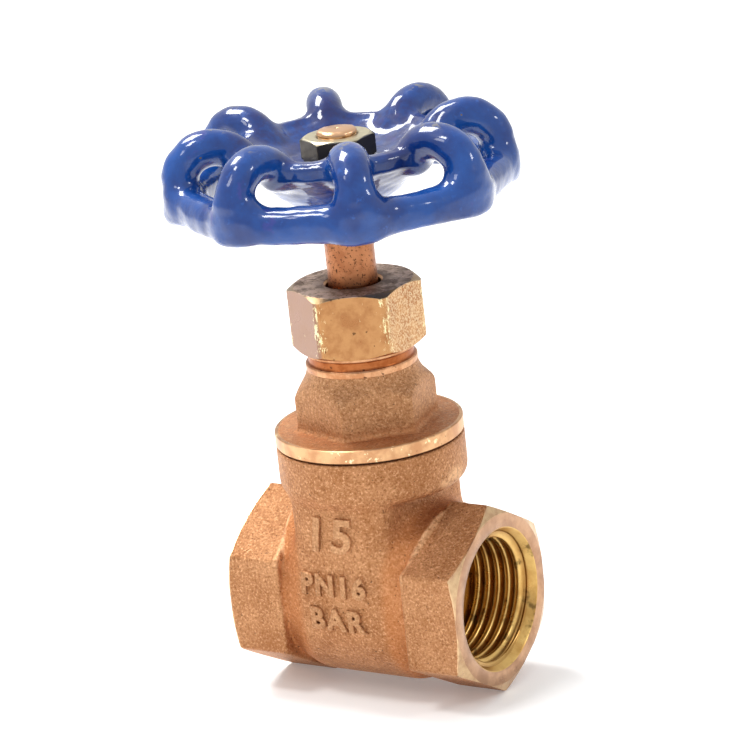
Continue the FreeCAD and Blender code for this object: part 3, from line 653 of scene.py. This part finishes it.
def hexagon_nut(name, flats, corner, face, slope, turn, low, high, bore, body, finish, roof=None):
    """A six-sided nut turned ring by ring: bore, end face, the chamfer's edge where its cone meets
    the hexagon, the flats, and the same again below. Corners are cut to a turned radius."""
    columns = 360
    angle = np.arange(columns) / columns * 2 * math.pi
    edge = np.minimum(rounded_hexagon(angle - turn, flats, 0.03), corner)
    ring = np.ones(columns)
    drop = np.maximum((edge - face) / slope, 0.02)
    inner = bore if roof is None else NECK_THREAD + 0.05
    rows = [(inner * ring, (low + 0.3) * ring), ((inner + 0.3) * ring, low * ring),
            ((face - 0.08) * ring, low * ring), (face * ring, (low + 0.04) * ring),
            (edge, low + drop), (edge, low + drop + 0.12), (edge, high - drop - 0.12), (edge, high - drop),
            (face * ring, (high - 0.04) * ring), ((face - 0.08) * ring, high * ring),
            ((bore + 0.35) * ring, high * ring), (bore * ring, (high - 0.35) * ring)]
    if roof is not None:
        rows += [(bore * ring, roof * ring), (inner * ring, roof * ring)]
    r = np.array([row[0] for row in rows])
    z = np.array([row[1] for row in rows])
    points = np.stack([r * np.cos(angle), r * np.sin(angle), z], -1).reshape(-1, 3)
    return mesh_piece(name, points, turned_faces(len(rows), columns)[:, ::-1], body, finish, sharp=17)


def nut_brass():
    """Gold sides with bright rubs along the six corners, and a dull top face."""
    f = Finish("nut_brass", Metallic=1.0)
    x, y, z = f.axis("X"), f.axis("Y"), f.axis("Z")
    radius = (x * x + y * y).square_root()
    top = f.ramp(z, nut_high[2] - 0.10, nut_high[2] - 0.02)
    cloud = f.noise(0.3, 4.0, 0.62)
    side = f.mix(f.ramp(cloud, 0.36, 0.62), colour(0.35, 0.155, 0.06), colour(0.48, 0.245, 0.10))
    left_flat = f.ramp(x * -0.53 - y * 0.848, NUT_FACE - 0.45, NUT_FACE - 0.15)
    side = f.mix(left_flat * 0.8, side, colour(0.27, 0.16, 0.12))
    fine = f.ramp(f.noise(3.2, 2.0, 0.6), 0.40, 0.62)
    right_flat = f.ramp(x, NUT_FACE - 0.45, NUT_FACE - 0.15)
    side = f.mix(right_flat * fine * 0.55, side, colour(0.80, 0.62, 0.38))
    scratch = f.noise(1.9, 5.0, 0.80, f.stretched(0.35))
    corner = f.ramp(radius, NUT_CORNER - 0.5, NUT_CORNER - 0.05)
    rubs = f.ramp(scratch + corner * 0.13, 0.67, 0.70) * 0.85
    side = f.mix(rubs, side, colour(1.0, 0.88, 0.50))
    stain = f.ramp(f.noise(0.35, 4.0, 0.7) + f.noise(1.6, 3.0, 0.7) * 0.5, 0.62, 0.86)
    dull = f.mix(stain, colour(0.26, 0.175, 0.12), colour(0.66, 0.49, 0.37))
    near_hole = f.ramp(radius, NUT_HOLE + 3.0, NUT_HOLE)
    dull = f.mix(near_hole * 0.6, dull, colour(0.12, 0.075, 0.05))
    cone_end = nut_high[2] + NUT_FACE / NUT_SLOPE
    cone = f.ramp(z + radius / NUT_SLOPE, cone_end - 0.10, cone_end - 0.03)
    side = f.mix(cone * 0.7, side, colour(0.36, 0.25, 0.13))
    base = f.mix(top, side, dull)
    nicks = f.ramp(f.noise(1.3, 1.0, 0.5), 0.73, 0.77)
    base = f.mix(nicks * 0.8, base, colour(0.09, 0.045, 0.02))
    rough = f.ramp(cloud, 0.2, 0.8) * 0.14 + 0.24 + top * 0.3
    grain = f.bump(f.noise(2.6, 3.0, 0.6), 0.35, 0.05)
    return f.paint(Base_Color=base, Roughness=rough, Normal=f.bump(rubs * 0.6 - nicks, 0.5, 0.06, grain))


gland_top = 1000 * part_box("gland_follower")[1][2]
nut = hexagon_nut("packing_nut_forging", NUT_FLATS, NUT_CORNER, NUT_FACE, NUT_SLOPE, NUT_TURN, nut_low[2],
                  nut_high[2], NUT_HOLE, "valve", nut_brass(), roof=gland_top)
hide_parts("packing_nut")

# Stem. Turned bronze bar, square at the top for the wheel and threaded M6 at its end; the shank is
# coppery, stained with dark specks where packing grease has dried. The peened tip keeps the plain
# bronze that the frame came with.

stem_high = 1000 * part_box("stem")[1][2]


def stem_bronze():
    """Coppery brown shank with dark specks and faint turning lines; the peened end is pale gold."""
    f = Finish("stem_bronze", Metallic=1.0)
    cloud = f.noise(0.3, 4.0, 0.6)
    base = f.mix(f.ramp(cloud, 0.35, 0.65), colour(0.30, 0.11, 0.048), colour(0.46, 0.19, 0.085))
    specks = f.ramp(f.noise(2.3, 3.0, 0.75), 0.57, 0.635)
    base = f.mix(specks * 0.85, base, colour(0.05, 0.03, 0.02))
    tip = f.ramp(f.axis("Z"), stem_high - 1.1, stem_high - 0.9)
    base = f.mix(tip, base, f.mix(f.noise(1.2, 3.0, 0.6), colour(0.74, 0.44, 0.21), colour(1.0, 0.74, 0.44)))
    lines = f.noise(0.4, 2.0, 0.5, f.stretched(12.0))
    return f.paint(Base_Color=base, Roughness=f.ramp(cloud, 0.2, 0.8) * 0.15 + 0.25 + specks * 0.3,
                   Normal=f.bump(lines - specks * 0.5, 0.4, 0.04))


plain_bronze = bpy.data.materials["stem_bronze"]
dress("stem", stem_bronze())
TIP_COLUMNS = 96
tip_angle = np.arange(TIP_COLUMNS) / TIP_COLUMNS * 2 * math.pi
tip_wave = 0.05 * np.sin(3 * tip_angle + 1) + 0.04 * np.sin(7 * tip_angle) + 0.03 * np.sin(11 * tip_angle + 2)
tip_rows = [(2.3, -0.5, 0), (2.95, -0.4, 0), (3.05, -0.1, 1), (3.02, 0.2, 1), (2.8, 0.42, 1),
            (2.3, 0.55, 0.5), (1.4, 0.62, 0), (0.5, 0.65, 0), (0.02, 0.65, 0), (0.02, -0.5, 0)]
tip_radius = np.array([radius + swell * tip_wave for radius, _, swell in tip_rows])
tip_height = np.array([[stem_high + height] for _, height, _ in tip_rows])
tip_points = np.stack([tip_radius * np.cos(tip_angle), tip_radius * np.sin(tip_angle),
                       tip_height + 0 * tip_angle + 0.04 * np.sin(2 * tip_angle)], -1).reshape(-1, 3)
mesh_piece("stem_peened_tip", tip_points, turned_faces(len(tip_rows), TIP_COLUMNS)[:, ::-1], "spindle",
           plain_bronze, sharp=60)

# Handwheel. One casting dipped in thick blue enamel: a square-holed hub, a dish whose edge waves
# between eight arched ribs, and an eight-sided rim. The enamel runs and leaves pinholes, and the
# inside of the dish is darkened with painted shade.

wheel_low, wheel_high = (1000 * np.array(corner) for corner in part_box("handwheel"))
RIM_RADIUS = 2.8
WHEEL_RADIUS = 27.2
RIB_RADIUS = 2.8
ARCH_RADIUS = 5.25
ARCH_RISE = 2.9
WHEEL_TURN = math.radians(-7)
HUB_DROP = 4.4
SQUARE_HALF = 3.05
SEAT_RADIUS = 7.5
rim_z = wheel_low[2] + HUB_DROP
hub_floor = 1000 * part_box("handwheel_nut")[0][2]
arch_r = WHEEL_RADIUS - ARCH_RADIUS - RIB_RADIUS
rng = np.random.default_rng(7)
RIPPLES = [(rng.normal(size=3) * scale, rng.uniform(0, 2 * math.pi), size)
           for scale, size in [(0.4, 0.10)] * 5 + [(0.9, 0.045)] * 6 + [(1.8, 0.014)] * 6]


def outline_distance(r, z, corners):
    """Distance from a closed outline in the (radius, height) plane, negative inside it: the nearest
    edge gives the size, and how often the outline is crossed below a point gives the sign."""
    best, crossed = None, None
    for (r0, z0), (r1, z1) in zip(corners, corners[1:] + corners[:1]):
        run, climb = r1 - r0, z1 - z0
        along = np.clip(((r - r0) * run + (z - z0) * climb) / (run ** 2 + climb ** 2), 0, 1)
        near = (r - r0 - along * run) ** 2 + (z - z0 - along * climb) ** 2
        best = near if best is None else np.minimum(best, near)
        if z0 != z1:
            side = ((z0 > z) != (z1 > z)) & (r < run * (z - z0) / climb + r0)
            crossed = side if crossed is None else crossed ^ side
    return np.where(crossed, -1, 1) * np.sqrt(best)


def wheel_field(x, y, z):
    """Hub and dish from an outline, an eight-sided ring of round bar, and eight bent round ribs,
    all joined by wide fillets; a few gentle sine ripples make the poured surface uneven."""
    angle = np.arctan2(y, x) - WHEEL_TURN
    r = np.hypot(x, y)
    h = z - rim_z
    eighth = math.pi / 4
    to_rib = (angle + eighth / 2) % eighth - eighth / 2
    to_side = angle % eighth - eighth / 2
    rib_out, rib_across = r * np.cos(to_rib), r * np.sin(to_rib)
    side_out, side_across = r * np.cos(to_side), np.abs(r * np.sin(to_side))
    corner = WHEEL_RADIUS - RIM_RADIUS
    reach, half = corner * math.cos(eighth / 2), corner * math.sin(eighth / 2)
    bow = 0.35 * (1 - (side_across / half) ** 2)
    beyond = np.maximum(side_across - half, 0)
    section = np.sqrt((side_out - reach - bow) ** 2 + beyond ** 2)
    rim = (section ** 2.5 + np.abs(h * 0.94) ** 2.5) ** 0.4 - RIM_RADIUS + 0.12
    out, up = rib_out - arch_r, h - ARCH_RISE
    bend = np.arctan2(up, out)
    start, stop = math.radians(-34), math.radians(150)
    held = np.clip(np.where(bend < -math.pi / 2, bend + 2 * math.pi, bend), start, stop)
    near_out, near_up = ARCH_RADIUS * np.cos(held), ARCH_RADIUS * np.sin(held)
    rib = np.sqrt((out - near_out) ** 2 + (up - near_up) ** 2 + (rib_across * 0.98) ** 2) - RIB_RADIUS
    foot = np.sqrt((rib_out - corner) ** 2 + rib_across ** 2 + (h + 0.1) ** 2) - RIM_RADIUS + 0.05
    floor = hub_floor - rim_z
    edge = arch_r - 2.9
    outline = [(2.0, -HUB_DROP + 0.1), (6.1, -HUB_DROP + 0.1), (6.3, -3.0), (8.0, -1.8),
               (edge - 0.9, floor + 0.1), (edge, floor + 0.7), (edge, 6.7), (edge - 0.6, 7.3),
               (edge - 1.9, 7.4), (edge - 2.9, 6.6), (7.9, floor), (2.0, floor)]
    dish = outline_distance(r, h, outline) - 0.1
    ribs = smooth_union(rib, foot, 1.6)
    solid = smooth_union(smooth_union(rim, ribs, 2.8), dish, 1.8)
    shell = np.hypot(np.maximum(r - 20, 0), np.maximum(np.abs(h - 1.5) - 3, 0)) - WHEEL_RADIUS + 19.9
    solid = smooth_cut(solid, shell, 1.2)
    solid = np.where(r > 16, smooth_cut(solid, -2.95 - h, 1.4), solid)
    ripple = sum(size * np.sin(wave[0] * x + wave[1] * y + wave[2] * z + phase)
                 for wave, phase, size in RIPPLES)
    solid = solid + ripple * 0.5
    turned_x = x * math.cos(WHEEL_TURN) + y * math.sin(WHEEL_TURN)
    turned_y = y * math.cos(WHEEL_TURN) - x * math.sin(WHEEL_TURN)
    hole = np.maximum(np.abs(turned_x), np.abs(turned_y)) - SQUARE_HALF
    seat = np.maximum(r - SEAT_RADIUS, np.abs(h - floor - 2.5) - 2.5)
    return np.maximum(np.maximum(solid, -hole), -seat)


def blue_enamel():
    """Deep blue gloss under a clear hard coat, paler and purple in random patches, with pinholes and
    a few chips down to grey primer; painted shade darkens the inside of the dish."""
    f = Finish("blue_enamel", Coat_Weight=1.0, Coat_Roughness=0.06, Coat_IOR=1.5, Roughness=0.35,
               Specular_IOR_Level=0.12)
    cloud = f.noise(0.10, 4.0, 0.6)
    small = f.noise(0.7, 3.0, 0.6)
    base = f.mix(f.ramp(cloud, 0.35, 0.65), colour(0.0015, 0.023, 0.145), colour(0.004, 0.058, 0.265))
    base = f.mix(f.ramp(small, 0.60, 0.72) * 0.5, base, colour(0.012, 0.085, 0.36))
    base = f.mix(f.ramp(f.noise(0.22, 3.0, 0.6), 0.62, 0.72) * 0.35, base, colour(0.06, 0.03, 0.24))
    x, y, z = f.axis("X"), f.axis("Y"), f.axis("Z")
    radius = (x * x + y * y).square_root()
    # Painted shade: the inside wall of the dish, behind the nut, is darkened to navy.
    dish_shade = f.ramp(radius, 17.5, 15.0) * f.ramp(z, hub_floor - 4.0, hub_floor - 2.0)
    base = f.mix(dish_shade * (f.ramp(small, 0.35, 0.65) * 0.5 + 0.25), base, colour(0.012, 0.012, 0.085))
    worn = f.ramp(z, wheel_high[2] - 0.7, wheel_high[2] - 0.1) * f.ramp(f.noise(0.6, 3.0, 0.6), 0.56, 0.60)
    base = f.mix(worn * 0.8, base, colour(0.16, 0.15, 0.14))
    pins = f.ramp(f.noise(0.7, 1.0, 0.5), 0.79, 0.81)
    base = f.mix(pins, base, colour(0.12, 0.09, 0.07))
    skin = f.bump(f.noise(0.30, 2.0, 0.5), 0.5, 0.6, f.bump(f.noise(0.9, 2.0, 0.5), 0.4, 0.16))
    return f.paint(Base_Color=base, Normal=f.bump(pins, -0.5, 0.08, skin))


points, faces = surface_of(wheel_field, wheel_low - 0.8, wheel_high + 0.8, step=0.34)
wheel = mesh_piece("handwheel_casting", points, faces, "spindle", blue_enamel())
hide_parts("handwheel")

# Handwheel nut. Thin M6 steel nut with a yellow passivated finish gone olive; its turned top is
# paler. It clamps the wheel on the stem's square.

spindle_nut_low, spindle_nut_high = (1000 * np.array(corner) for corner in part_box("handwheel_nut"))


def nut_steel():
    """Dark olive passivated sides, and a paler top where the tool has cut through the plating."""
    f = Finish("nut_steel", Metallic=0.9)
    top = f.ramp(f.axis("Z"), spindle_nut_high[2] - 0.30, spindle_nut_high[2] - 0.1)
    dull = f.mix(f.noise(0.6, 4.0, 0.6), colour(0.05, 0.042, 0.028), colour(0.12, 0.10, 0.065))
    pale = f.mix(f.noise(0.9, 3.0, 0.6), colour(0.42, 0.37, 0.24), colour(0.66, 0.60, 0.42))
    base = f.mix(top, dull, pale)
    return f.paint(Base_Color=base, Roughness=f.noise(0.8, 3.0, 0.6) * 0.2 + 0.28,
                   Normal=f.bump(f.noise(2.0, 3.0, 0.6), 0.3, 0.05))


SPINDLE_NUT_FLATS = 10.0
SPINDLE_NUT_CORNER = 5.72
SPINDLE_NUT_FACE = 4.95
SPINDLE_NUT_SLOPE = 1.9
SPINDLE_THREAD = 3.0
spindle_nut = hexagon_nut("handwheel_nut_turned", SPINDLE_NUT_FLATS, SPINDLE_NUT_CORNER, SPINDLE_NUT_FACE,
                          SPINDLE_NUT_SLOPE, 0.0, spindle_nut_low[2], spindle_nut_high[2], SPINDLE_THREAD,
                          "spindle", nut_steel())
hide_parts("handwheel_nut")

# Studio. A wide white table in even white light, one large soft lamp above and behind the left
# shoulder, two smaller ones in front, and one from the right that draws the bright edges.

floor_z = body_low[2] * MM
FLOOR_HALF = 1.5


def studio_white():
    """Matt white paper with the faintest unevenness."""
    f = Finish("studio_white", Roughness=0.6, Emission_Color=colour(1, 1, 1), Emission_Strength=0.14)
    tone = f.noise(0.004, 2.0, 0.5)
    return f.paint(Base_Color=f.mix(tone, colour(0.90, 0.90, 0.90), colour(0.94, 0.94, 0.94)))


sweep = bpy.data.meshes.new("sweep")
corners = [(x * FLOOR_HALF, y * FLOOR_HALF, floor_z) for x, y in ((-1, -1), (1, -1), (1, 1), (-1, 1))]
sweep.from_pydata(corners, [], [(0, 1, 2, 3)])
ground = bpy.data.objects.new("studio_floor", sweep)
bpy.context.scene.collection.objects.link(ground)
ground.data.materials.append(studio_white())

world = bpy.data.worlds.new("studio")
world.use_nodes = True
world.node_tree.nodes["Background"].inputs["Color"].default_value = colour(1.0, 1.0, 1.0)
world.node_tree.nodes["Background"].inputs["Strength"].default_value = 0.80
bpy.context.scene.world = world
bpy.context.scene.view_settings.view_transform = "Standard"


def lamp(name, place, target, size, power):
    """A square soft lamp at a place, facing a target."""
    light = bpy.data.lights.new(name, "AREA")
    light.shape, light.size, light.energy = "SQUARE", size, power
    holder = bpy.data.objects.new(name, light)
    holder.location = place
    holder.rotation_euler = (Vector(target) - Vector(place)).to_track_quat("-Z", "Y").to_euler()
    bpy.context.scene.collection.objects.link(holder)


lamp("top_softbox", (-0.34, 0.09, 0.56), (0, 0, 0.02), 0.26, 3.8)
lamp("key_lamp", (-0.22, -0.50, 0.52), (0, 0, 0.03), 0.16, 0.5)
lamp("front_lamp", (-0.12, -0.26, 0.58), (0, 0, 0.01), 0.14, 1.35)
lamp("right_lamp", (0.50, 0.10, 0.32), (0, 0, 0.03), 0.10, 0.45)

# Camera. A long lens over the bench, a little above the valve and 0.6 m away, tipped a few degrees
# about its own axis.

AZIMUTH, ELEVATION, ROLL = (math.radians(a) for a in (33.86, 20.33, -6.276))
DISTANCE = 0.6
LOOK_AT = Vector((-0.004416, 0.009778, 0.03116))
back = Vector((math.sin(AZIMUTH) * math.cos(ELEVATION), -math.cos(AZIMUTH) * math.cos(ELEVATION),
               math.sin(ELEVATION)))
lens = bpy.data.cameras.new("bench_camera")
lens.sensor_width, lens.lens = 36.0, 184.24
camera = bpy.data.objects.new("bench_camera", lens)
camera.location = back * DISTANCE
ahead = (LOOK_AT - camera.location).normalized()
level = ahead.cross(Vector((0, 0, 1))).normalized()
over = level.cross(ahead)
turn = Matrix.Rotation(ROLL, 3, -ahead)
axes = Matrix((turn @ level, turn @ over, -ahead)).transposed()
camera.rotation_euler = axes.to_euler()
bpy.context.scene.collection.objects.link(camera)
bpy.context.scene.camera = camera
